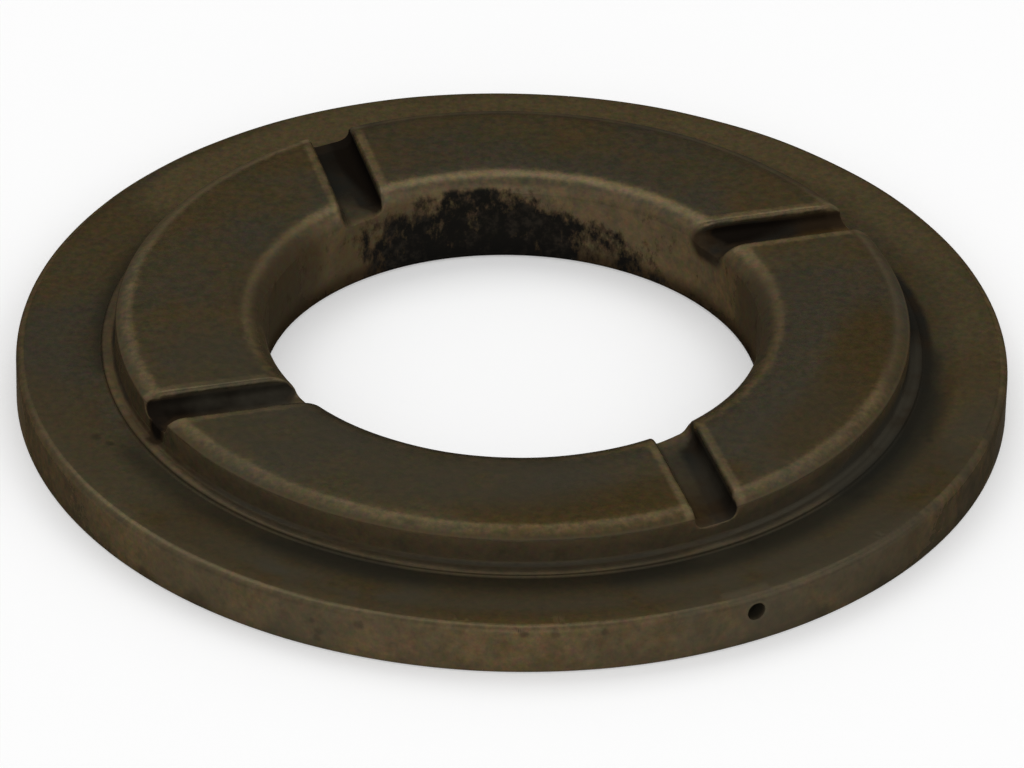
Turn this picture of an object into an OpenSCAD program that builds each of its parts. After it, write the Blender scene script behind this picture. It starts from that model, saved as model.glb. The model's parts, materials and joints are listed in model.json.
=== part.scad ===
// Bronze thrust washer, turned from one piece: a flange, a raised bearing
// boss and a bore. Four oil grooves are milled straight across the boss face,
// and a small blind hole is drilled into the rim.
// The flange stands on z = 0, and the bore runs along the z axis.
// All sizes are in millimetres.

/* [Flange] */
// Outside diameter of the flange
flange_d = 80; // [74:0.5:120]
// Thickness of the flange, from the seat to its upper face
flange_t = 4.2; // [3:0.1:8]
// Radius of the worn edge round the top of the rim
rim_edge_r = 0.7; // [0.1:0.05:1.2]
// Radius of the broken edge round the foot of the rim
rim_foot_r = 0.2; // [0.05:0.05:0.8]

/* [Boss] */
// Outside diameter of the raised boss
boss_d = 64; // [58:0.5:68]
// Height of the bearing face above the flange
boss_h = 3.3; // [3:0.1:8]
// Width of the worn edge between the bearing face and the boss wall
boss_wear_w = 1.5; // [0.8:0.05:1.8]
// Radius of that worn edge
boss_wear_r = 2.1; // [1.9:0.1:2.3]

/* [Ledge at the foot of the boss] */
// Width of the ledge that the turning tool left outside the boss wall
ledge_w = 1.1; // [0.8:0.05:2]
// Height of the ledge above the flange
ledge_h = 0.4; // [0.4:0.05:0.6]
// Radius of the ledge's own edge
ledge_edge_r = 0.15; // [0.05:0.05:0.15]
// Radius of the hollow corner between the ledge and the boss wall
ledge_corner_r = 0.4; // [0.1:0.05:0.6]
// Radius of the hollow corner between the flange and the ledge
flange_corner_r = 0.2; // [0.05:0.05:0.2]

/* [Bore] */
// Diameter of the bore
bore_d = 40; // [30:0.5:44]
// Width of the worn edge between the bearing face and the bore
bore_wear_w = 1.8; // [0.8:0.05:1.85]
// Radius of that worn edge
bore_wear_r = 1.9; // [1.9:0.1:3]
// Radius of the broken edge round the foot of the bore
bore_foot_r = 0.5; // [0.1:0.05:1]

/* [Oil grooves] */
// Number of oil grooves, evenly spaced
groove_n = 4; // [1:1:6]
// Width of a groove
groove_w = 3.6; // [2:0.1:6]
// Depth of a groove below the bearing face
groove_depth = 1.6; // [1:0.1:2.2]
// Distance from the washer's axis to the middle line of a groove
groove_offset = 7.5; // [0:0.25:12]
// Direction of the first groove, anticlockwise from the x axis
groove_turn = 16; // [0:1:90]
// Radius of the hollow corners along the floor of a groove
groove_corner_r = 0.8; // [0.1:0.05:0.9]

/* [Blind hole in the rim] */
// Diameter of the blind hole
hole_d = 1.5; // [0.6:0.1:2.2]
// Depth of its straight part
hole_depth = 2.5; // [0.5:0.1:5]
// Distance from the flange's upper face down to its middle line
hole_drop = 1.4; // [1.2:0.1:1.8]
// Its direction, anticlockwise from the x axis
hole_turn = -61; // [-180:1:180]
// Angle across the drill's point
drill_angle = 118; // [90:1:140]

/* [Hidden] */

flange_r = flange_d / 2;
boss_r = boss_d / 2;
bore_r = bore_d / 2;
ledge_r = boss_r + ledge_w;
ledge_z = flange_t + ledge_h;
face_z = flange_t + boss_h;
hole_z = flange_t - hole_drop;
groove_z = face_z - groove_depth;

// Run of a cutter past the metal that it cuts
run_out = 1;
// Facets of the washer's round faces, of its worn edges and of the small hole
turn_fn = 180;
edge_fn = 96;
hole_fn = 48;

// A ring's half section, from the bore out to the radius r, z0 to z1 high
module ring_section(r, z0, z1) {
    translate([bore_r, z0])
        square([r - bore_r, z1 - z0]);
}

// What an edge of radius r loses, for a corner at the origin with the metal at
// -x and -y. The round leaves the face w in from the corner, without a step.
// Where w is smaller than r, it crosses the wall before it is upright.
module edge_waste(w, r) {
    translate([-w, -r])
        difference() {
            square([w + run_out, r + run_out]);
            circle(r, $fn = edge_fn);
        }
}

// The fill of a hollow corner at the origin, with the air at +x and +y
module hollow_corner(r) {
    difference() {
        square(r);
        translate([r, r])
            circle(r, $fn = edge_fn);
    }
}

// Half of the washer's section, with its worn edges and hollow corners
module washer_section() {
    difference() {
        union() {
            ring_section(flange_r, 0, flange_t);
            ring_section(ledge_r, flange_t, ledge_z);
            ring_section(boss_r, ledge_z, face_z);
            translate([ledge_r, flange_t])
                hollow_corner(flange_corner_r);
            translate([boss_r, ledge_z])
                hollow_corner(ledge_corner_r);
        }
        translate([flange_r, flange_t])
            edge_waste(rim_edge_r, rim_edge_r);
        translate([flange_r, 0])
            mirror([0, 1])
                edge_waste(rim_foot_r, rim_foot_r);
        translate([ledge_r, ledge_z])
            edge_waste(ledge_edge_r, ledge_edge_r);
        translate([boss_r, face_z])
            edge_waste(boss_wear_w, boss_wear_r);
        translate([bore_r, face_z])
            mirror([1, 0])
                edge_waste(bore_wear_w, bore_wear_r);
        translate([bore_r, 0])
            rotate(180)
                edge_waste(bore_foot_r, bore_foot_r);
    }
}

// The turned blank, before milling and drilling
module turned_blank() {
    rotate_extrude($fn = turn_fn)
        washer_section();
}

// Section of a groove, open at the top, with hollow corners along its floor
module groove_section() {
    difference() {
        translate([-groove_w / 2, 0])
            square([groove_w, groove_depth + run_out]);
        for (side = [0, 1])
            mirror([side, 0])
                translate([-groove_w / 2, 0])
                    hollow_corner(groove_corner_r);
    }
}

// One pass of the milling cutter, from over the bore out past the boss wall
module groove_pass() {
    translate([0, groove_offset, groove_z])
        rotate([90, 0, 90])
            linear_extrude(height = ledge_r + run_out)
                groove_section();
}

// All the oil grooves, each turned on by an equal share of the circle
module oil_grooves() {
    for (i = [0 : groove_n - 1])
        rotate([0, 0, groove_turn + i * 360 / groove_n])
            groove_pass();
}

// The drill for the blind hole, which enters along a radius of the rim
module rim_drill() {
    point_h = hole_d / 2 / tan(drill_angle / 2);
    rotate([0, 0, hole_turn])
        translate([flange_r - hole_depth, 0, hole_z])
            rotate([0, 90, 0]) {
                cylinder(h = hole_depth + run_out, d = hole_d, $fn = hole_fn);
                translate([0, 0, -point_h])
                    cylinder(h = point_h, d1 = 0, d2 = hole_d, $fn = hole_fn);
            }
}

module washer() {
    color("darkolivegreen")
        difference() {
            turned_blank();
            oil_grooves();
            rim_drill();
        }
}

washer();
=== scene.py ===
"""An aged bronze thrust washer with offset oil grooves, on a pale floor. Metres."""

import json
import math

import bmesh
import bpy
from mathutils import Matrix, Vector, noise


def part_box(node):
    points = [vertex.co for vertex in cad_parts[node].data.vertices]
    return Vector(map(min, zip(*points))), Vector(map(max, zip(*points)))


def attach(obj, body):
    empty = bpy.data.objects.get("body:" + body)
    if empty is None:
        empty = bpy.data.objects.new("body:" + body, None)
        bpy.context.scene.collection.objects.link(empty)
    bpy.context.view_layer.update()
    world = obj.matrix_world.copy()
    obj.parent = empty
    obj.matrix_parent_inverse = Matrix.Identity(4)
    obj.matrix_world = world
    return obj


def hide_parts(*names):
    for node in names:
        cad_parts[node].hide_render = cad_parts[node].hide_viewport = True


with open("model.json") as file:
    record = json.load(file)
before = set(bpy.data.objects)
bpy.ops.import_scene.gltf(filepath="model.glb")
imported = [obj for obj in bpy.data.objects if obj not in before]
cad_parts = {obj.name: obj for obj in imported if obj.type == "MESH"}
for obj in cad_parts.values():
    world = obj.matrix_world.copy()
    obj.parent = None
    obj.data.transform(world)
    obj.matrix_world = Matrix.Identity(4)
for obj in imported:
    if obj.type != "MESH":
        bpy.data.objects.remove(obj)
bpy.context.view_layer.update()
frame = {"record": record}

# Sizes that the frame holds, the rim a hair inside its box
HAIR = 0.000001
WASHER_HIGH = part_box("washer")[1]
FLANGE_R = WASHER_HIGH.x - HAIR
FACE_Z = WASHER_HIGH.z
BORE = next(m for m in frame["record"]["mounts"] if m["name"] == "bore")
BORE_R = BORE["dims"]["r_mm"] / 1000

# The turned section
FLANGE_T = 0.0042
RIM_EDGE_R = 0.0007
RIM_FOOT_R = 0.0002
BOSS_R = 0.032
LEDGE_R = BOSS_R + 0.0011
LEDGE_Z = FLANGE_T + 0.0004
LEDGE_EDGE_R = 0.00018
LEDGE_CORNER_R = 0.0004
FLANGE_CORNER_R = 0.0002
BORE_FOOT_R = 0.0005
# The worn edges beside the bearing face: width, radius of the shoulder and of the edge at the wall, how
# bare they are rubbed, with a painted highlight where that peaks, how far down the rubbing reaches, and
# the painted shade laid low on the shoulder near the wall
BOSS_WEAR = (0.0015, 0.0021, 0.0002, 0.68, 0.30, 0.5)
BORE_WEAR = (0.0018, 0.0019, 0.0004, 0.95, 0.33, 0.1)
# Steps of their small round and of their shoulder
EDGE_STEPS = 5
SHOULDER_STEPS = 9
# How far each worn edge runs out over the bearing face, and the share of its rubbing left there
RUN_OUTS = [(0, 0.7), (0.00015, 0.5), (0.0008, 0)]
# Steps of the full turn, and the longest stretch of the section without a point
TURN_STEPS = 480
SKIN_STEP = 0.0011

# The oil grooves. The edge is the one round their mouths, and the step is the size of the small faces
# into which their walls are split.
GROOVE_W = 0.0036
GROOVE_DEPTH = 0.0016
GROOVE_OFFSET = 0.0075
GROOVE_TURN = math.radians(16)
GROOVE_CORNER_R = 0.0008
GROOVE_EDGE_R = 0.00042
GROOVE_STEP = 0.0009
# How far each groove strays from its true place, turned in degrees and sideways in metres,
# how dark it is painted with dirt and painted shade at its bore end and at its outer end, and how much
# of it has turned ochre
GROOVES = [
    (0.2, -0.00005, 0.9, 0.0, 0.9),
    (-1.0, 0.0005, 0.4, 1.2, 0.0),
    (0, -0.0006, 0.75, 0.75, 0.5),
    (1.0, -0.00005, 0.3, 0.5, 0.3),
]
# The side towards which painted shade lies thickest in them, on the walls that lie in shade
SHADED_SIDE = Vector((1, 1, 0))

# The blind hole in the rim
HOLE_R = 0.00075
HOLE_DEPTH = 0.0025
HOLE_Z = FLANGE_T - 0.0014
HOLE_TURN = math.radians(-61)
HOLE_EDGE_R = 0.00012
HOLE_STEPS = 24
DRILL_ANGLE = math.radians(118)

# How far outside the outline of a groove, and of the hole, the surface is cut again, as shares of the
# radius of the edge round its mouth
MOUTH_LEVELS = [2.8, 1.8] + [1 - math.sin(math.radians(a)) for a in (0, 30, 60, 90)]
HOLE_LEVELS = [1 - math.sin(math.radians(a)) for a in (0, 60, 90)]

# How far the round edges are rubbed down, and the length of the rubbing's waves
EDGE_WEAR = 0.00012
EDGE_WAVE = 0.006
# Points of the mesh that lie closer together than this are one point, and a point this near to a plane
# lies on it
MERGE = 0.000004
ON_PLANE = 1e-7


def clamp(value):
    return min(max(value, 0), 1)


def polar(turn, out, up):
    """A place on the washer, in degrees round it and metres out and up."""
    return Matrix.Rotation(math.radians(turn), 3, "Z") @ Vector((out, 0, up))


def arc(centre, radius, start, end, steps, wear_and_highlight=0.0, grime_and_shade=0.0, spread=0.42, hollow=False):
    """Stations along a round part of the section: place, outward direction, wear and darkening.
    Wear, whose bare colour is partly a painted highlight, is strongest where an edge turns into the flat,
    and the darkening is painted shade, lying in a hollow or low on a shoulder."""
    side = -1 if hollow else 1
    stations = []
    for i in range(steps + 1):
        angle = math.radians(start + (end - start) * i / steps)
        out = Vector((math.cos(angle), 0, math.sin(angle)))
        tilt = math.acos(min(abs(out.z), 1)) / (math.pi / 2)
        # Where the rubbing peaks, its bare colour also paints the edge's highlight
        rubbed = math.sin(math.pi * tilt ** spread) ** 2
        caught = math.sin(math.pi * max(tilt - 0.25, 0) / 0.9)
        if hollow:
            caught = 0.3 + 0.7 * math.sin(math.pi * i / steps)
        place = Vector((centre[0], 0, centre[1])) + out * radius
        stations.append((place, out * side, wear_and_highlight * rubbed, grime_and_shade * caught))
    return stations


def worn_edge(wall_r, way, form):
    """Stations of a worn edge from the wall up to the face: a small round, then a broad shoulder.
    The way is 1 where the wall faces outwards and -1 where it faces the axis."""
    width, shoulder_r, edge_r, rubbed, spread, darkening = form
    lean = math.asin((width - edge_r) / (shoulder_r - edge_r))
    wall_z = FACE_Z - shoulder_r + (shoulder_r - edge_r) * math.cos(lean)
    turned = 90 - math.degrees(lean)
    # The darkening passed on here is painted shade, low on the shoulder near the wall
    stations = arc((-edge_r, wall_z), edge_r, 0, turned, EDGE_STEPS, rubbed, darkening, spread)
    stations += arc((-width, FACE_Z - shoulder_r), shoulder_r, turned, 90, SHOULDER_STEPS,
                    rubbed, darkening, spread)[1:-1]
    for i, (_, out, _, _) in enumerate(stations[:EDGE_STEPS]):
        # Lifted towards the face, so that the mouth of a groove can be rounded here without a fold
        lift = math.radians(turned * (0.6 + 0.08 * i))
        out.x, out.z = math.cos(lift), math.sin(lift)
    for run, share in RUN_OUTS:
        stations.append((Vector((-width - run, 0, FACE_Z)), Vector((0, 0, 1)), rubbed * share, 0.0))
    for place, out, _, _ in stations:
        place.x = wall_r + way * place.x
        out.x *= way
    return stations


def section():
    """The washer's section, once round from the seat's outer edge, up the rim and back down the bore."""
    foot, rim = RIM_FOOT_R, RIM_EDGE_R
    return [
        *arc((FLANGE_R - foot, foot), foot, -90, 0, 3, wear_and_highlight=0.4),
        *arc((FLANGE_R - rim, FLANGE_T - rim), rim, 0, 90, 9, wear_and_highlight=1),
        *arc((LEDGE_R + FLANGE_CORNER_R, FLANGE_T + FLANGE_CORNER_R), FLANGE_CORNER_R, 270, 180, 4,
             hollow=True),
        *arc((LEDGE_R - LEDGE_EDGE_R, LEDGE_Z - LEDGE_EDGE_R), LEDGE_EDGE_R, 0, 90, 4, wear_and_highlight=0.3),
        # Painted shade in the hollow corner at the foot of the boss wall
        *arc((BOSS_R + LEDGE_CORNER_R, LEDGE_Z + LEDGE_CORNER_R), LEDGE_CORNER_R, 270, 180, 6,
             grime_and_shade=0.6, hollow=True),
        *worn_edge(BOSS_R, 1, BOSS_WEAR),
        *reversed(worn_edge(BORE_R, -1, BORE_WEAR)),
        *arc((BORE_R + BORE_FOOT_R, BORE_FOOT_R), BORE_FOOT_R, 180, 270, 4, wear_and_highlight=0.3),
    ]


class Skin:
    """The washer's mesh while it is made, and what is known at each of its points."""

    def __init__(self):
        self.bm = bmesh.new()
        points = self.bm.verts.layers
        self.wear_and_highlight = points.float.new("wear_and_highlight")
        self.grime_and_shade = points.float.new("grime_and_shade")
        self.ochre = points.float.new("ochre")
        for name in ("stain_and_shade", "pale", "warm", "residue"):
            points.float.new(name)
        self.outward = points.float_vector.new("outward")

    def point(self, place, out, wear_and_highlight, grime_and_shade):
        vert = self.bm.verts.new(place)
        vert[self.outward] = out
        vert[self.wear_and_highlight] = wear_and_highlight
        vert[self.grime_and_shade] = grime_and_shade
        return vert

    def out(self, vert):
        """The direction straight out of the turned surface at a point of it."""
        across = Vector((vert.co.x, vert.co.y, 0)).normalized()
        flat = vert[self.outward]
        return (across * flat.x + Vector((0, 0, flat.z))).normalized()

    def split(self, faces, place, normal):
        """Splits faces where a plane crosses them, and returns all their parts."""
        edges = (e for f in faces for e in f.edges)
        verts = (v for f in faces for v in f.verts)
        parts = list(dict.fromkeys([*faces, *edges, *verts]))
        cut = bmesh.ops.bisect_plane(self.bm, geom=parts, dist=ON_PLANE, plane_co=place, plane_no=normal)
        return [part for part in cut["geom"] if isinstance(part, bmesh.types.BMFace)]


def in_order(skin):
    """The same skin with its faces laid in a fixed order. A spin lays them in another order each time,
    and what is cut into them would then differ in its last digits."""
    skin.bm.verts.index_update()
    fresh = Skin()
    points = [fresh.point(v.co, v[skin.outward], v[skin.wear_and_highlight], v[skin.grime_and_shade]) for v in skin.bm.verts]
    faces = []
    for face in skin.bm.faces:
        corners = [v.index for v in face.verts]
        lowest = corners.index(min(corners))
        faces.append(corners[lowest:] + corners[:lowest])
    for corners in sorted(faces):
        fresh.bm.faces.new([points[i] for i in corners])
    fresh.bm.normal_update()
    skin.bm.free()
    return fresh


def turned_blank():
    """Spins the section round the axis, its long straight runs cut into short ones first.
    A quarter is spun and then copied round, which is much quicker than one full spin."""
    skin = Skin()
    bm = skin.bm
    verts = [skin.point(*station) for station in section()]
    edges = [bm.edges.new(pair) for pair in zip(verts, verts[1:] + verts[:1])]
    for edge in edges:
        cuts = int(edge.calc_length() / SKIN_STEP)
        if cuts:
            bmesh.ops.subdivide_edges(bm, edges=[edge], cuts=cuts)
    about = {"cent": (0, 0, 0), "axis": (0, 0, 1)}
    bmesh.ops.spin(bm, geom=bm.verts[:] + bm.edges[:], angle=math.tau / 4, steps=TURN_STEPS // 4, **about)
    bmesh.ops.spin(bm, geom=bm.verts[:] + bm.edges[:] + bm.faces[:], angle=math.tau * 3 / 4, steps=3,
                   use_duplicate=True, **about)
    bmesh.ops.remove_doubles(bm, verts=bm.verts[:], dist=MERGE)
    bmesh.ops.recalc_face_normals(bm, faces=bm.faces[:])
    return in_order(skin)


def rub_edges(skin):
    """Wears the round edges down unevenly, always into the metal."""
    for vert in skin.bm.verts:
        wear_and_highlight = vert[skin.wear_and_highlight]
        if wear_and_highlight > 0:
            wave = 0.5 + 0.5 * noise.noise(vert.co / EDGE_WAVE)
            vert.co -= skin.out(vert) * EDGE_WEAR * wear_and_highlight * wave


class Cut:
    """A straight cut along the x axis of its own frame, which is turned about the washer's axis.
    The outline is (side, height) points, with the waste on the right of the way they are listed."""

    def __init__(self, skin, turn, outline, reach, edge_r, closed=False):
        self.skin = skin
        self.to_washer = Matrix.Rotation(turn, 3, "Z")
        self.to_cut = self.to_washer.transposed()
        self.reach = reach
        self.edge_r = edge_r
        ends = outline[1:] + outline[:1] if closed else outline[1:]
        self.planes = []
        for a, b in zip(outline, ends):
            start = Vector((0, *a))
            way = (Vector((0, *b)) - start).normalized()
            self.planes.append((start, Vector((0, -way.z, way.y))))

    def distances(self, place):
        """How far a point of the washer lies outside each plane of the cut."""
        local = self.to_cut @ place
        return [(local - start).dot(out) for start, out in self.planes]

    def is_near(self, place, margin):
        along = (self.to_cut @ place).x
        return self.reach[0] < along < self.reach[1] and max(self.distances(place)) < margin

    def remove_waste(self, levels):
        """Cuts the skin along the outline and along wider ones round it, and takes the inside away."""
        bm = self.skin.bm
        faces = [f for f in bm.faces if self.is_near(f.calc_center_median(), 2 * SKIN_STEP)]
        for level in levels:
            for start, out in self.planes:
                place = self.to_washer @ (start + out * self.edge_r * level)
                normal = self.to_washer @ out
                parts = self.skin.split(faces, place, normal)
                faces = [part for part in parts if (part.calc_center_median() - place).dot(normal) < 0]
        bmesh.ops.delete(bm, geom=faces, context="FACES")

    def rows(self):
        """The edges round the open cut, sorted by the plane on which they lie."""
        found = [[] for _ in self.planes]
        for edge in self.skin.bm.edges:
            if edge.is_boundary:
                middle = (edge.verts[0].co + edge.verts[1].co) / 2
                away = [abs(d) for d in self.distances(middle)]
                found[away.index(min(away))].append(edge)
        return found

    def close_walls(self):
        """Fills the walls and floor of an open cut, a strip between each two ribs along it."""
        bm = self.skin.bm
        rows = self.rows()
        ribs = []
        for row, following in zip(rows, rows[1:]):
            shared = {v for e in row for v in e.verts} & {v for e in following for v in e.verts}
            ribs.append(bm.edges.new(sorted(shared, key=lambda v: (self.to_cut @ v.co).x)))
        walls = []
        for i, row in enumerate(rows):
            walls += bmesh.ops.edgeloop_fill(bm, edges=row + ribs[max(i - 1, 0):i + 1])["faces"]
        return walls

    def round_mouth(self, low, high):
        """Rounds the edge round the cut, by pushing the points near it along the cut into the metal.
        It is rubbed rounder, and brighter with bare bronze that is partly a painted highlight, from the
        height low up to the height high."""
        skin = self.skin
        reach = self.edge_r * MOUTH_LEVELS[0]
        for vert in skin.bm.verts:
            if not self.is_near(vert.co, reach):
                continue
            away = max(*self.distances(vert.co), 0)
            share = clamp((vert.co.z - low) / (high - low))
            ripple = 0.75 + 0.25 * noise.noise(vert.co / EDGE_WAVE * 4)
            radius = self.edge_r * (0.35 + 0.65 * share) * ripple
            out = self.to_cut @ skin.out(vert)
            out.y = 0
            if away < radius and out.length > 0.1:
                drop = radius - math.sqrt(radius ** 2 - (radius - away) ** 2)
                vert.co -= self.to_washer @ out.normalized() * drop
            worn = min(2.4 * (1 - away / reach), 1)
            worn *= 0.5 + 0.4 * min(away / self.edge_r, 1)
            vert[skin.wear_and_highlight] = max(vert[skin.wear_and_highlight], worn) * share ** 2

    def dice(self, faces, step):
        """Splits the cut's own walls into small faces, on which dirt and painted shade can be laid point by
        point.
        """
        sides = [start.y for start, _ in self.planes]
        spans = (self.reach, (min(sides), max(sides)), (FACE_Z - GROOVE_DEPTH, FACE_Z))
        for axis, (low, high) in enumerate(spans):
            normal = Vector([float(axis == i) for i in range(3)])
            count = math.ceil((high - low) / step)
            for i in range(1, count):
                place = normal * (low + (high - low) * i / count)
                faces = self.skin.split(faces, self.to_washer @ place, self.to_washer @ normal)
        return faces


def bend(side, height, radius, start, end, steps):
    """Points along a round stretch of a cut's outline."""
    angles = [math.radians(start + (end - start) * i / steps) for i in range(steps + 1)]
    return [(side + radius * math.cos(a), height + radius * math.sin(a)) for a in angles]


def groove_outline(offset):
    """A groove's section, down one side, over the floor with its hollow corners, and up the other."""
    half, r = GROOVE_W / 2, GROOVE_CORNER_R
    floor_z = FACE_Z - GROOVE_DEPTH
    return [
        (offset + half, FACE_Z),
        *bend(offset + half - r, floor_z + r, r, 0, -90, 5),
        *bend(offset - half + r, floor_z + r, r, -90, -180, 5),
        (offset - half, FACE_Z),
    ]


def mill_groove(skin, turn, offset, *darkening):
    """One pass of the milling cutter across the boss, from the bore to the boss wall."""
    cut = Cut(skin, turn, groove_outline(offset), (BORE_R / 2, LEDGE_R), GROOVE_EDGE_R)
    cut.remove_waste(MOUTH_LEVELS)
    walls = cut.close_walls()
    cut.round_mouth(FACE_Z - GROOVE_DEPTH, FACE_Z - GROOVE_EDGE_R)
    darken_groove(cut, cut.dice(walls, GROOVE_STEP), offset, *darkening)


def darken_groove(cut, walls, offset, bore_darkening, outer_darkening, ochre):
    """Lays dirt with painted shade, and ochre, on a groove's walls, below the rounded edges; the painted
    shade is thickest on the shaded side.
    """
    skin = cut.skin
    shaded_side = math.copysign(1, (cut.to_washer @ Vector((0, 1, 0))).dot(SHADED_SIDE))
    for vert in {v for f in walls for v in f.verts}:
        local = cut.to_cut @ vert.co
        along = (local.x - BORE_R) / (BOSS_R - BORE_R)
        depth = clamp((FACE_Z - GROOVE_EDGE_R - vert.co.z) / (GROOVE_DEPTH - GROOVE_EDGE_R))
        below_edge = min(depth * 4, 1)
        outer = clamp(along * 2 - 0.2)
        # Painted shade on the side whose walls lie in shade
        beside = max(shaded_side * (local.y - offset) / (GROOVE_W / 2) + 0.1, 0)
        darkening = bore_darkening + (outer_darkening - bore_darkening) * outer + beside
        vert[skin.grime_and_shade] = darkening * below_edge * clamp(along * 12 + beside)
        vert[skin.ochre] = ochre * outer * below_edge
        vert[skin.wear_and_highlight] *= 1 - below_edge


def drill_hole(skin):
    """The blind hole in the rim, with the drill's point at its end."""
    bm = skin.bm
    outline = bend(0, HOLE_Z, HOLE_R, 0, -360, HOLE_STEPS)[:-1]
    cut = Cut(skin, HOLE_TURN, outline, (LEDGE_R, FLANGE_R), HOLE_EDGE_R, closed=True)
    cut.remove_waste(HOLE_LEVELS)
    mouth = [edge for edge in bm.edges if edge.is_boundary]
    cut.round_mouth(0, HOLE_Z)
    along = cut.to_washer @ Vector((1, 0, 0))
    depth = FLANGE_R - HOLE_DEPTH
    for place in (FLANGE_R - 2 * HOLE_R, depth):
        grown = bmesh.ops.extrude_edge_only(bm, edges=mouth)["geom"]
        mouth = [g for g in grown if isinstance(g, bmesh.types.BMEdge)]
        for vert in {v for e in mouth for v in e.verts}:
            vert.co += along * (place - vert.co.dot(along))
            # Painted shade inside the hole
            vert[skin.grime_and_shade] = 1
            vert[skin.wear_and_highlight] = 0
    grown = bmesh.ops.extrude_edge_only(bm, edges=mouth)["geom"]
    tip = along * (depth - HOLE_R / math.tan(DRILL_ANGLE / 2)) + Vector((0, 0, HOLE_Z))
    points = [g for g in grown if isinstance(g, bmesh.types.BMVert)]
    bmesh.ops.pointmerge(bm, verts=points, merge_co=tip)


# Dents, and one bead of dried oil that stands proud: degrees round, metres out and up, size and depth
DENTS = [
    (-84.0, FLANGE_R, FLANGE_T - 0.0002, 0.00050, 0.00012),
    (-88.5, FLANGE_R, FLANGE_T - 0.0002, 0.00035, 0.00010),
    (-95.0, FLANGE_R, FLANGE_T - 0.0002, 0.00060, 0.00010),
    (-42.0, FLANGE_R, FLANGE_T - 0.0002, 0.00050, 0.00010),
    (-153.2, BOSS_R, 0.0053, 0.00030, -0.00012),
]
# How often the mesh is made finer there
DENT_CUTS = 3


def press(skin, turn, radius, height, size, depth):
    """A small dent: the mesh round its place is made finer and pushed into the metal.
    A depth below zero draws it out."""
    bm = skin.bm
    place = polar(turn, radius, height)
    near = [v for v in bm.verts if (v.co - place).length < size + SKIN_STEP]
    for _ in range(DENT_CUTS):
        edges = dict.fromkeys(e for v in near for e in v.link_edges if e.calc_length() > size / 3)
        edges = [e for e in edges
                 if ((e.verts[0].co + e.verts[1].co) / 2 - place).length < size * 1.3 + e.calc_length() / 2]
        fresh = bmesh.ops.subdivide_edges(bm, edges=edges, cuts=1, use_grid_fill=True)["geom_inner"]
        near = [v for v in near if v.is_valid] + [g for g in fresh if isinstance(g, bmesh.types.BMVert)]
    for vert in near:
        share = 1 - ((vert.co - place).length / size) ** 2
        if share > 0:
            vert.co -= skin.out(vert) * depth * share ** 2
            vert[skin.grime_and_shade] = max(vert[skin.grime_and_shade], share)


# Marks laid along short arcs: degrees round at the middle, degrees to each side of it, metres out and up,
# reach and strength
# 236 and 320 degrees are painted shade, darker towards the sides; on the bearing face, greyer places
# On the flange round the ledge, a dark stain with painted shade from the boss; on the rim, the two at
STAINS_AND_SHADE = [
    (326, 18, 0.0337, FLANGE_T, 0.0032, 1.15), (350, 6, 0.0335, FLANGE_T, 0.0024, 0.9),
    (14, 10, 0.0350, FLANGE_T, 0.0026, 0.35), (256, 38, 0.0349, FLANGE_T, 0.0042, 0.85),
    (248, 2, 0.0354, FLANGE_T, 0.0046, 1.2), (300, 8, 0.0345, FLANGE_T, 0.0036, 1.2),
    (170, 16, 0.0334, FLANGE_T, 0.0012, 0.8), (196, 10, 0.0375, FLANGE_T, 0.0040, 0.5),
    (318, 4, 0.0270, FACE_Z, 0.0050, 0.5), (228, 8, 0.0250, FACE_Z, 0.0070, 0.9),
    (254, 10, 0.0240, FACE_Z, 0.0060, 0.9), (236, 6, 0.0400, 0.0020, 0.0080, 0.6),
    (320, 10, 0.0400, 0.0020, 0.0100, 0.9),
]
PALE = [
    (70, 18, 0.0385, FLANGE_T, 0.0050, 0.7), (106, 5, 0.0375, FLANGE_T, 0.0050, 0.6),
    (128, 8, 0.0360, FLANGE_T, 0.0040, 0.7), (0, 14, 0.0378, FLANGE_T, 0.0030, 0.4),
    (34, 6, 0.0380, FLANGE_T, 0.0040, 0.5),
]
WARM = [
    (284, 18, 0.0370, FLANGE_T, 0.0060, 1.0), (246, 12, 0.0370, FLANGE_T, 0.0050, 0.9),
    (330, 20, 0.0380, FLANGE_T, 0.0045, 0.8), (286, 9, 0.0290, FACE_Z, 0.0045, 0.7),
    (340, 9, 0.0290, FACE_Z, 0.0045, 0.6),
]
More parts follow.
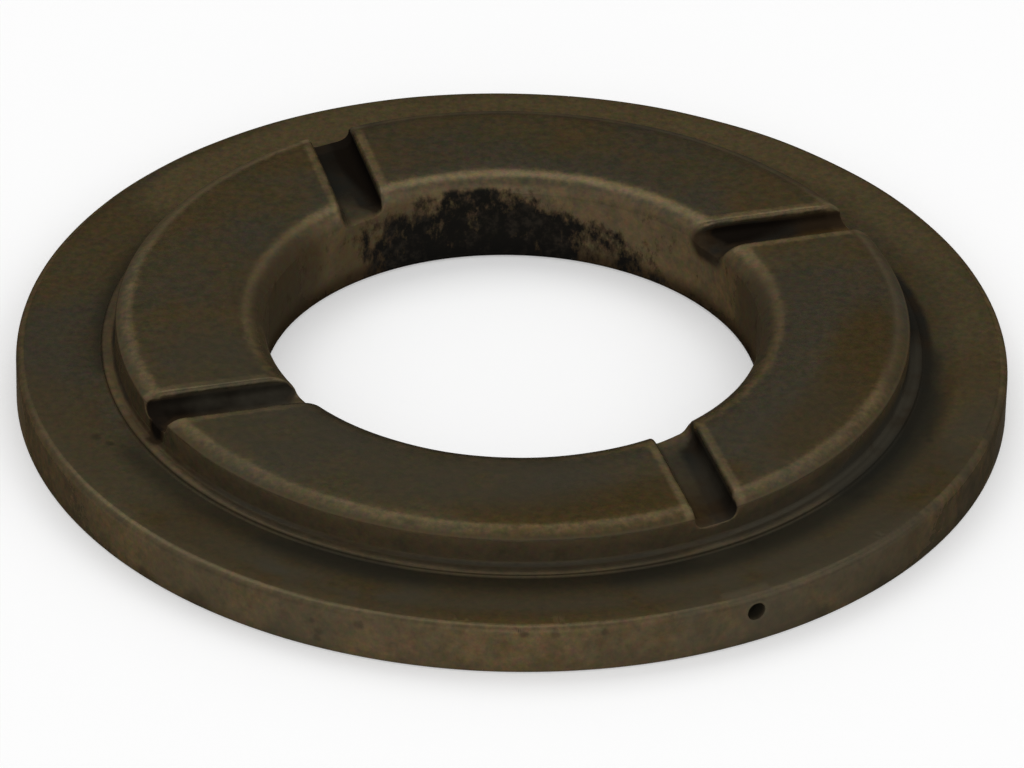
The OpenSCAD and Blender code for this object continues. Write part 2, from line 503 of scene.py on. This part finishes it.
# Painted shade on the boss shoulder at the far side and the sides, where its edge catches a grazing
# sheen, and in the hollow at the ledge on the right
SHADED_EDGES = [
    (78, 34, 0.0313, 0.0073, 0.0014, 0.5), (8, 18, 0.0313, 0.0073, 0.0014, 0.4),
    (148, 8, 0.0313, 0.0073, 0.0014, 0.3), (352, 20, 0.0327, LEDGE_Z, 0.0018, 1.1),
]
DIRT = [
    (209, 0, 0.0320, 0.0056, 0.0015, 1.5), (206, 3, 0.0330, LEDGE_Z, 0.0016, 0.35),
    (166, 14, 0.0200, 0.0040, 0.0060, 0.45), (2, 12, 0.0200, 0.0040, 0.0060, 0.4),
    (124, 6, 0.0200, 0.0030, 0.0050, 0.35), (38, 2, 0.0203, 0.0062, 0.0020, 0.7),
]
RESIDUE = [
    (98, 3, BORE_R, 0.0030, 0.0042, 1.05), (89, 2, BORE_R, 0.0024, 0.0038, 0.95),
    (107, 2, BORE_R, 0.0026, 0.0040, 0.95), (80, 1, BORE_R, 0.0022, 0.0034, 0.85),
    (116, 1, BORE_R, 0.0028, 0.0036, 0.9), (99, 2, BORE_R, 0.0050, 0.0028, 0.8),
    (93, 0, BORE_R, 0.0054, 0.0018, 0.7), (103, 2, BORE_R, 0.0058, 0.0014, 0.6),
    (123, 0, BORE_R, 0.0034, 0.0034, 0.6), (73, 0, BORE_R, 0.0024, 0.0028, 0.6),
    (65, 0, BORE_R, 0.0020, 0.0026, 0.5), (57, 0, BORE_R, 0.0016, 0.0022, 0.5),
    (112, 0, BORE_R, 0.0048, 0.0026, 0.6),
]
# The layer of the mesh that takes each kind, and how quickly it fades along its arc, where 1 is as
# quickly as across it
KINDS = [
    ("stain_and_shade", STAINS_AND_SHADE, 0.4), ("pale", PALE, 0.4), ("warm", WARM, 0.4),
    ("grime_and_shade", SHADED_EDGES, 0.2), ("grime_and_shade", DIRT, 1), ("residue", RESIDUE, 1),
]


def lay_marks(skin):
    """Notes at each point how strongly the stains and painted shade, the pale and warm places, dirt and
    painted shade, and residue reach it.
    """
    layers = skin.bm.verts.layers.float
    points = [(v, math.degrees(math.atan2(v.co.y, v.co.x)), math.hypot(v.co.x, v.co.y))
              for v in skin.bm.verts]
    for name, marks, fade in KINDS:
        layer = layers[name]
        for angle, half, radius, height, reach, strength in marks:
            for vert, turn, out in points:
                if abs(out - radius) < reach and abs(vert.co.z - height) < reach:
                    beyond = max(abs((turn - angle + 180) % 360 - 180) - half, 0)
                    along = radius * math.radians(beyond) * fade
                    away = math.hypot(out - radius, vert.co.z - height, along)
                    share = min(2 * (1 - away / reach), 1)
                    vert[layer] = max(vert[layer], strength * share)


def placed(name, data):
    """An object in the scene, at the origin."""
    piece = bpy.data.objects.new(name, data)
    bpy.context.scene.collection.objects.link(piece)
    return piece


def finished(name, bm):
    """The piece that a bmesh becomes."""
    mesh = bpy.data.meshes.new(name)
    bm.to_mesh(mesh)
    bm.free()
    return placed(name, mesh)


def washer():
    """The whole washer, as one closed mesh."""
    skin = turned_blank()
    rub_edges(skin)
    for i, (stray, slip, *darkening) in enumerate(GROOVES):
        turn = GROOVE_TURN + i * math.tau / len(GROOVES) + math.radians(stray)
        mill_groove(skin, turn, GROOVE_OFFSET + slip, *darkening)
    drill_hole(skin)
    for dent in DENTS:
        press(skin, *dent)
    lay_marks(skin)
    bm = skin.bm
    bmesh.ops.remove_doubles(bm, verts=bm.verts[:], dist=MERGE)
    bmesh.ops.recalc_face_normals(bm, faces=bm.faces[:])
    for face in bm.faces:
        face.smooth = True
    piece = finished("bronze_washer", bm)
    piece.modifiers.new("even_shading", "WEIGHTED_NORMAL").keep_sharp = True
    return piece


class Wire:
    """A socket of a finish, on which sums can be written."""

    def __init__(self, finish, socket):
        self.finish = finish
        self.socket = socket

    def math(self, operation, *values):
        return self.finish.node("Math", {"operation": operation}, dict(enumerate(values)))

    def __add__(self, other):
        return self.math("ADD", self, other)

    def __radd__(self, other):
        return self.math("ADD", other, self)

    def __sub__(self, other):
        return self.math("SUBTRACT", self, other)

    def __rsub__(self, other):
        return self.math("SUBTRACT", other, self)

    def __mul__(self, other):
        return self.math("MULTIPLY", self, other)

    def __rmul__(self, other):
        return self.math("MULTIPLY", other, self)

    def between(self, low, high):
        """0 below low, 1 above high, and a smooth rise between them. With low above high it falls."""
        return self.finish.node("MapRange", {"interpolation_type": "SMOOTHSTEP"},
                                {"Value": self, "From Min": low, "From Max": high})


class Finish:
    """A material, and the one way in which its nodes are added."""

    def __init__(self, name):
        self.material = bpy.data.materials.new(name)
        self.material.use_nodes = True
        self.tree = self.material.node_tree
        self.tree.nodes.clear()

    def node(self, kind, settings, sockets, output=0):
        node = self.tree.nodes.new("ShaderNode" + kind)
        for name, value in settings.items():
            setattr(node, name, value)
        for name, value in sockets.items():
            if isinstance(value, Wire):
                self.tree.links.new(value.socket, node.inputs[name])
            else:
                node.inputs[name].default_value = value
        return Wire(self, node.outputs[output]) if node.outputs else None

    def vector(self, operation, *values, output="Vector"):
        return self.node("VectorMath", {"operation": operation}, dict(enumerate(values)), output)

    def mix(self, share, a, b, blend="MIX"):
        """A colour between a and b."""
        a, b = ((*c, 1) if isinstance(c, tuple) else c for c in (a, b))
        return self.node("Mix", {"data_type": "RGBA", "blend_type": blend}, {0: share, 6: a, 7: b}, 2)

    def grain(self, place, size, detail, roughness, output="Fac"):
        """Soft noise with patches of about that size, between 0 and 1."""
        return self.node("TexNoise", {}, {"Vector": place, "Scale": 1 / size, "Detail": detail,
                                          "Roughness": roughness}, output)

    def attribute(self, name):
        """What the mesh holds under that name."""
        return self.node("Attribute", {"attribute_name": name}, {}, "Fac")

    def surfaced(self, shader):
        """The material, with the shader as its surface."""
        self.node("OutputMaterial", {}, {"Surface": shader})
        return self.material


# Colours of the bronze and of what lies on it
OLIVE = (0.068, 0.056, 0.031)
BROWN = (0.074, 0.054, 0.027)
GREYED = (0.057, 0.051, 0.037)
PALE_BROWN = (0.098, 0.075, 0.039)
OCHRE = (0.128, 0.090, 0.046)
WARM_BROWN = (0.060, 0.042, 0.018)
GROOVE_OCHRE = (0.078, 0.042, 0.012)
# Bare bronze of the rubbed edges, brightened to serve partly as a painted highlight
BARE_BRONZE_AND_HIGHLIGHT = (0.147, 0.110, 0.058)
EDGE_TINT = (0.06, 0.05, 0.04, 1)
# Dirt colours, which also paint the shade in hollows, grooves, the hole and low on the shoulders
RED_GRIME_AND_SHADE = (0.028, 0.018, 0.010)
GREEN_GRIME_AND_SHADE = (0.018, 0.018, 0.015)
DARK_GRIME_AND_SHADE = (0.010, 0.0075, 0.0055)
# Dark stain, also the painted shade round the foot of the boss and on the rim
STAIN_AND_SHADE = (0.022, 0.021, 0.016)
SOOT = (0.0065, 0.0068, 0.0065)
CRUST = (0.022, 0.019, 0.015)
# Gain and lift of the fine tints, which are 1 on average, and the range of the light and dark specks
TINT_GAIN = (0.9, 0.9, 0.9)
TINT_LIFT = (0.55, 0.55, 0.55)
SPECK_TINTS = ((0.93, 0.93, 0.93), (1.07, 1.07, 1.07))

# Sizes of the patches, clouds, blotches and specks of the finish, of its fine turning lines and of the
# crumbs of soot, and the depth of its relief
PATCH = 0.009
CLOUD = 0.014
BLOTCH = 0.0022
SPECK = 0.0006
TURNING_LINE = 0.0004
CRUMB = 0.0016
RELIEF = 0.00003
# The radii between which the bearing face turns greyer towards the bore
GREYER = (0.0280, 0.0225)

# Small dark spots: how ragged they are, then degrees round, metres out and up, and size of each
RAGGED = 0.0006
SPOTS = [
    (-155.8, 0.0360, FLANGE_T, 0.0006), (-153.8, 0.0353, FLANGE_T, 0.0005),
    (-36.8, 0.0340, FLANGE_T, 0.0013), (-20.5, 0.0356, FLANGE_T, 0.0005),
    (-84.5, FLANGE_R, 0.0036, 0.0006), (-88.0, FLANGE_R, 0.0036, 0.0005),
    (-79.0, FLANGE_R, 0.0036, 0.0005), (-106.5, FLANGE_R, 0.0031, 0.0006),
    (-111.2, FLANGE_R, 0.0017, 0.0005), (-111.3, FLANGE_R, 0.0010, 0.0005),
    (-112.0, FLANGE_R, 0.0025, 0.0004), (-127.0, FLANGE_R, 0.0002, 0.0020),
    (-53.0, FLANGE_R, 0.0002, 0.0016), (-43.0, FLANGE_R, 0.0002, 0.0018),
    (-135.0, FLANGE_R, 0.0002, 0.0014),
]


class AgedBronze(Finish):
    """The washer's finish, laid on in layers from the patina to the soot in the bore."""

    def __init__(self):
        super().__init__("aged_bronze")
        self.place = self.node("TexCoord", {}, {}, "Object")
        flat = self.vector("MULTIPLY", self.place, (1, 1, 0))
        self.radius = self.vector("LENGTH", flat, output="Value")
        self.height = self.node("SeparateXYZ", {}, {0: self.place}, "Z")
        self.patches = self.grain(self.place, PATCH, 4, 0.6)
        self.clouds = self.grain(self.place, CLOUD, 3, 0.5)
        self.blotches = self.grain(self.place, BLOTCH, 4, 0.65)
        self.specks = self.grain(self.place, SPECK, 3, 0.6)
        tints = self.grain(self.place, SPECK, 3, 0.8, "Color")
        self.tints = self.vector("MULTIPLY_ADD", tints, TINT_GAIN, TINT_LIFT)
        self.grime_and_shade, self.stain_and_shade = self.attribute("grime_and_shade"), self.attribute("stain_and_shade")
        self.walls = self.upright_walls()
        self.bare_and_highlight = self.broken(self.attribute("wear_and_highlight"), 0.6, 0.4).between(0.2, 1.05)
        self.dirty_and_shaded = self.broken(self.grime_and_shade, 0.5, 0.3).between(0.1, 0.8)
        self.ring = self.dark_ring_by_ledge()
        stained_and_shaded = (self.stain_and_shade * self.ring + (self.blotches - 0.5) * 0.25).between(0.05, 1.2)
        self.stained_and_shaded = stained_and_shaded * self.height.between(0.002, 0.004)
        self.in_bore = self.radius.between(BORE_R + 0.0004, BORE_R + 0.0001)
        self.residue = self.crumbling_residue()
        self.sooty = self.residue.between(0.45, 0.9) * self.in_bore

    def broken(self, mask, blotch, speck):
        """A mask or a value, broken up by blotches and specks."""
        return mask + (self.blotches - 0.5) * blotch + (self.specks - 0.5) * speck

    def upright_walls(self):
        """Where the surface is the bore, the rim or the boss wall."""
        bore = self.radius.between(BORE_R + 0.0012, BORE_R)
        rim = self.radius.between(FLANGE_R - 0.0006, FLANGE_R - 0.0001)
        inside_ledge = self.radius.between(LEDGE_R + 0.0002, LEDGE_R - 0.0001)
        boss = self.radius.between(BOSS_R - 0.0003, BOSS_R) * inside_ledge
        return bore + rim + boss * 0.8

    def dark_ring_by_ledge(self):
        """The part of the flange round the ledge that takes the dark stain and painted shade of the boss.
        """
        outside_ledge = self.radius.between(LEDGE_R - 0.0005, LEDGE_R + 0.0003)
        return self.radius.between(LEDGE_R + 0.0044, LEDGE_R + 0.0009) * outside_ledge

    def crumbling_residue(self):
        """What is left of the residue in the bore, raised towards the foot, where crumbs have come away."""
        tall = self.vector("MULTIPLY", self.place, (1, 1, 0.6))
        crumbs = self.grain(tall, CRUMB, 5, 0.72)
        foot = self.height.between(0.0015, 0.0004)
        return self.attribute("residue") + foot * 0.4 + (crumbs - 0.5) * 3.0

    def patina(self):
        """Olive and brown patches, greyer clouds, and the warm and pale places."""
        mottle = (self.patches * 0.6 + self.blotches * 0.4).between(0.40, 0.60)
        colour = self.mix(mottle, OLIVE, BROWN)
        greyed = (self.clouds + self.radius.between(*GREYER) * 0.08).between(0.48, 0.68)
        colour = self.mix(greyed * 0.7, colour, GREYED)
        drift = (self.clouds - 0.5) * 0.6
        colour = self.mix((self.attribute("warm") + drift).between(0.1, 0.9), colour, WARM_BROWN)
        outside = self.radius.between(LEDGE_R, LEDGE_R + 0.0015)
        pale = (self.attribute("pale") + drift).between(0.1, 0.8)
        return self.mix(pale * outside, colour, PALE_BROWN)

    def rub(self, colour):
        """Lighter upright walls, and bare bronze on the rubbed edges, partly a painted highlight."""
        ochre = self.walls * (0.45 + self.blotches.between(0.35, 0.65) * 0.5)
        colour = self.mix(ochre, colour, OCHRE)
        return self.mix(self.bare_and_highlight * 0.8, colour, BARE_BRONZE_AND_HIGHLIGHT)

    def tint(self, colour):
        """Fine tints and specks all over."""
        specks = self.mix(self.specks.between(0.3, 0.7), *SPECK_TINTS)
        for tints in (self.tints, specks):
            colour = self.mix(1.0, colour, tints, "MULTIPLY")
        return colour

    def spot(self, colour):
        """Small dark spots, ragged at the edge. The tints shift the surface by RAGGED on average, and so
        the centres are shifted too."""
        shift = Vector((RAGGED, RAGGED, RAGGED))
        ragged = self.vector("MULTIPLY_ADD", self.tints, shift, self.place)
        dark = 0
        for turn, out, up, size in SPOTS:
            away = self.vector("DISTANCE", ragged, polar(turn, out, up) + shift, output="Value")
            dark = dark + away.between(size, size * 0.3)
        return self.mix(dark * 0.4, colour, DARK_GRIME_AND_SHADE)

    def grime_and_shade_over(self, colour):
        """Ochre in the grooves. Dirt and painted shade in the grooves, painted shade in the hole, the
        hollow corner, low on the worn shoulders and on the shaded edges, and dirt in the dents and the dirt
        marks.
        """
        colour = self.mix(self.attribute("ochre") * 0.85, colour, GROOVE_OCHRE)
        grime_and_shade = self.mix(self.patches.between(0.4, 0.6), RED_GRIME_AND_SHADE, GREEN_GRIME_AND_SHADE)
        colour = self.mix(self.dirty_and_shaded, colour, grime_and_shade)
        darkest = (self.grime_and_shade + (self.blotches - 0.5) * 0.3).between(0.9, 1.5)
        return self.mix(darkest, colour, DARK_GRIME_AND_SHADE)

    def stain_and_shade_over(self, colour):
        """The dark stain and painted shade on the flange round the ledge. Elsewhere a mark only greys the
        bronze, as painted shade on the rim and as greyer places on the bearing face.
        """
        colour = self.mix(self.stained_and_shaded * 0.85, colour, STAIN_AND_SHADE)
        elsewhere = self.stain_and_shade * (1 - self.ring) * self.patches.between(0.3, 0.55)
        return self.mix(elsewhere * 0.75, colour, GREYED)

    def soot_over(self, colour):
        """Black residue in the bore, with a brown fringe, and the bore darker towards its foot."""
        foot = self.height.between(0.0024, 0.0006) * self.in_bore
        colour = self.mix(foot * 0.75, colour, RED_GRIME_AND_SHADE)
        fringe = self.residue.between(0.2, 0.6) * self.in_bore
        colour = self.mix(fringe * 0.6, colour, RED_GRIME_AND_SHADE)
        crusted = (self.blotches * 0.6 + self.specks * 0.4).between(0.48, 0.66)
        return self.mix(self.sooty * 0.93, colour, self.mix(crusted, SOOT, CRUST))

    def shader(self, colour):
        """Metal under the patina, less so where it is dirty or painted with shade, sooty or upright, with a
        fine relief.
        """
        rough = self.broken(0.42, 0.15, 0.1) + self.dirty_and_shaded * 0.2 + self.stained_and_shaded * 0.1 - self.bare_and_highlight * 0.05
        turned = self.node("CombineXYZ", {}, {"X": self.radius, "Y": self.height})
        lines = self.grain(turned, TURNING_LINE, 2, 0.6)
        relief = self.specks * 0.5 + self.blotches * 0.5 + lines * 0.2 + self.sooty * 0.5
        bump = self.node("Bump", {}, {"Height": relief, "Strength": 0.4, "Distance": RELIEF})
        above_wall = self.radius.between(BOSS_R, BOSS_R - 0.0002)
        shoulder = self.radius.between(BOSS_R - 0.0015, BOSS_R - 0.0009) * above_wall
        metal = 0.75 - self.dirty_and_shaded * 0.25 - self.sooty * 0.6 - self.walls * 0.25 - shoulder * 0.75
        return self.node("BsdfPrincipled", {}, {
            "Base Color": colour, "Metallic": metal, "Roughness": rough, "Specular IOR Level": 0.0,
            "Specular Tint": EDGE_TINT, "Normal": bump})


def aged_bronze():
    f = AgedBronze()
    colour = f.patina()
    for layer in (f.rub, f.tint, f.spot, f.grime_and_shade_over, f.stain_and_shade_over, f.soot_over):
        colour = layer(colour)
    return f.surfaced(f.shader(colour))


# The stage: the floor's size, how far it lies below the seat, its shade and the glow that lifts it to
# white, and the level of the light all round
FLOOR_SIZE = 40
FLOOR_DROP = 0.00002
FLOOR_SHADE = 0.78
FLOOR_ROUGHNESS = 0.9
FLOOR_LIFT = 0.30
WORLD_LEVEL = 0.42


def floor_paper():
    """Pale paper, lifted to white where the camera or a reflection sees it."""
    f = Finish("floor_paper")
    camera_ray, glossy_ray, clear_ray = (f.node("LightPath", {}, {}, "Is " + kind + " Ray")
                                         for kind in ("Camera", "Glossy", "Transmission"))
    lift = (camera_ray + glossy_ray + clear_ray) * FLOOR_LIFT
    glow = f.node("CombineColor", {}, {0: lift, 1: lift, 2: lift})
    shade = (FLOOR_SHADE, FLOOR_SHADE, FLOOR_SHADE, 1)
    return f.surfaced(f.node("BsdfPrincipled", {}, {
        "Base Color": shade, "Roughness": FLOOR_ROUGHNESS, "Specular IOR Level": 0.0,
        "Emission Color": glow, "Emission Strength": 1.0}))


def floor():
    bm = bmesh.new()
    bmesh.ops.create_grid(bm, x_segments=1, y_segments=1, size=FLOOR_SIZE / 2)
    bmesh.ops.translate(bm, verts=bm.verts[:], vec=(0, 0, -FLOOR_DROP))
    piece = finished("floor", bm)
    piece.data.materials.append(floor_paper())


# Softboxes: degrees round from the camera's side, degrees up, distance, width, height and radiance
SOFTBOXES = {
    "back_softbox": (194, 61, 0.7, 0.75, 0.42, 1.35),
    "left_softbox": (-70, 45, 0.7, 0.5, 0.5, 0.55),
    "right_softbox": (75, 45, 0.7, 0.5, 0.5, 1.0),
    "front_softbox": (3, 30, 1.0, 0.8, 0.8, 1.3),
}


def softbox(name, azimuth, elevation, distance, width, height, radiance):
    """A flat lamp that faces the washer."""
    a, e = math.radians(azimuth), math.radians(elevation)
    back = Vector((math.sin(a) * math.cos(e), -math.cos(a) * math.cos(e), math.sin(e)))
    data = bpy.data.lights.new(name, "AREA")
    data.shape = "RECTANGLE"
    data.size = width
    data.size_y = height
    data.energy = radiance * math.pi * width * height
    lamp = placed(name, data)
    lamp.location = back * distance
    lamp.rotation_mode = "QUATERNION"
    lamp.rotation_quaternion = (-back).to_track_quat("-Z", "Y")


def lighting():
    world = bpy.data.worlds.new("studio")
    bpy.context.scene.world = world
    world.use_nodes = True
    light = world.node_tree.nodes["Background"].inputs
    light["Color"].default_value = (1, 1, 1, 1)
    light["Strength"].default_value = WORLD_LEVEL
    for name, values in SOFTBOXES.items():
        softbox(name, *values)


# The camera, in the photograph's place
CAMERA_DISTANCE = 0.68355
CAMERA_ELEVATION = math.radians(33.1145)
CAMERA_AIM = Vector((0.00005, 0.00079, 0))
CAMERA_ROLL = math.radians(1.3292)
CAMERA_LENS = 296.78
SENSOR_WIDTH = 36


def camera():
    data = bpy.data.cameras.new("photo_view")
    data.sensor_width = SENSOR_WIDTH
    data.lens = CAMERA_LENS
    data.clip_start, data.clip_end = 0.01, 100
    piece = placed("photo_view", data)
    back = Vector((0, -math.cos(CAMERA_ELEVATION), math.sin(CAMERA_ELEVATION)))
    place = back * CAMERA_DISTANCE
    look = (CAMERA_AIM - place).to_track_quat("-Z", "Y").to_matrix()
    piece.matrix_world = Matrix.Translation(place) @ (look @ Matrix.Rotation(CAMERA_ROLL, 3, "Z")).to_4x4()
    bpy.context.scene.camera = piece


piece = washer()
piece.data.materials.append(aged_bronze())
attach(piece, "root")
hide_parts("washer")
floor()
lighting()
camera()
bpy.context.scene.view_settings.view_transform = "Standard"
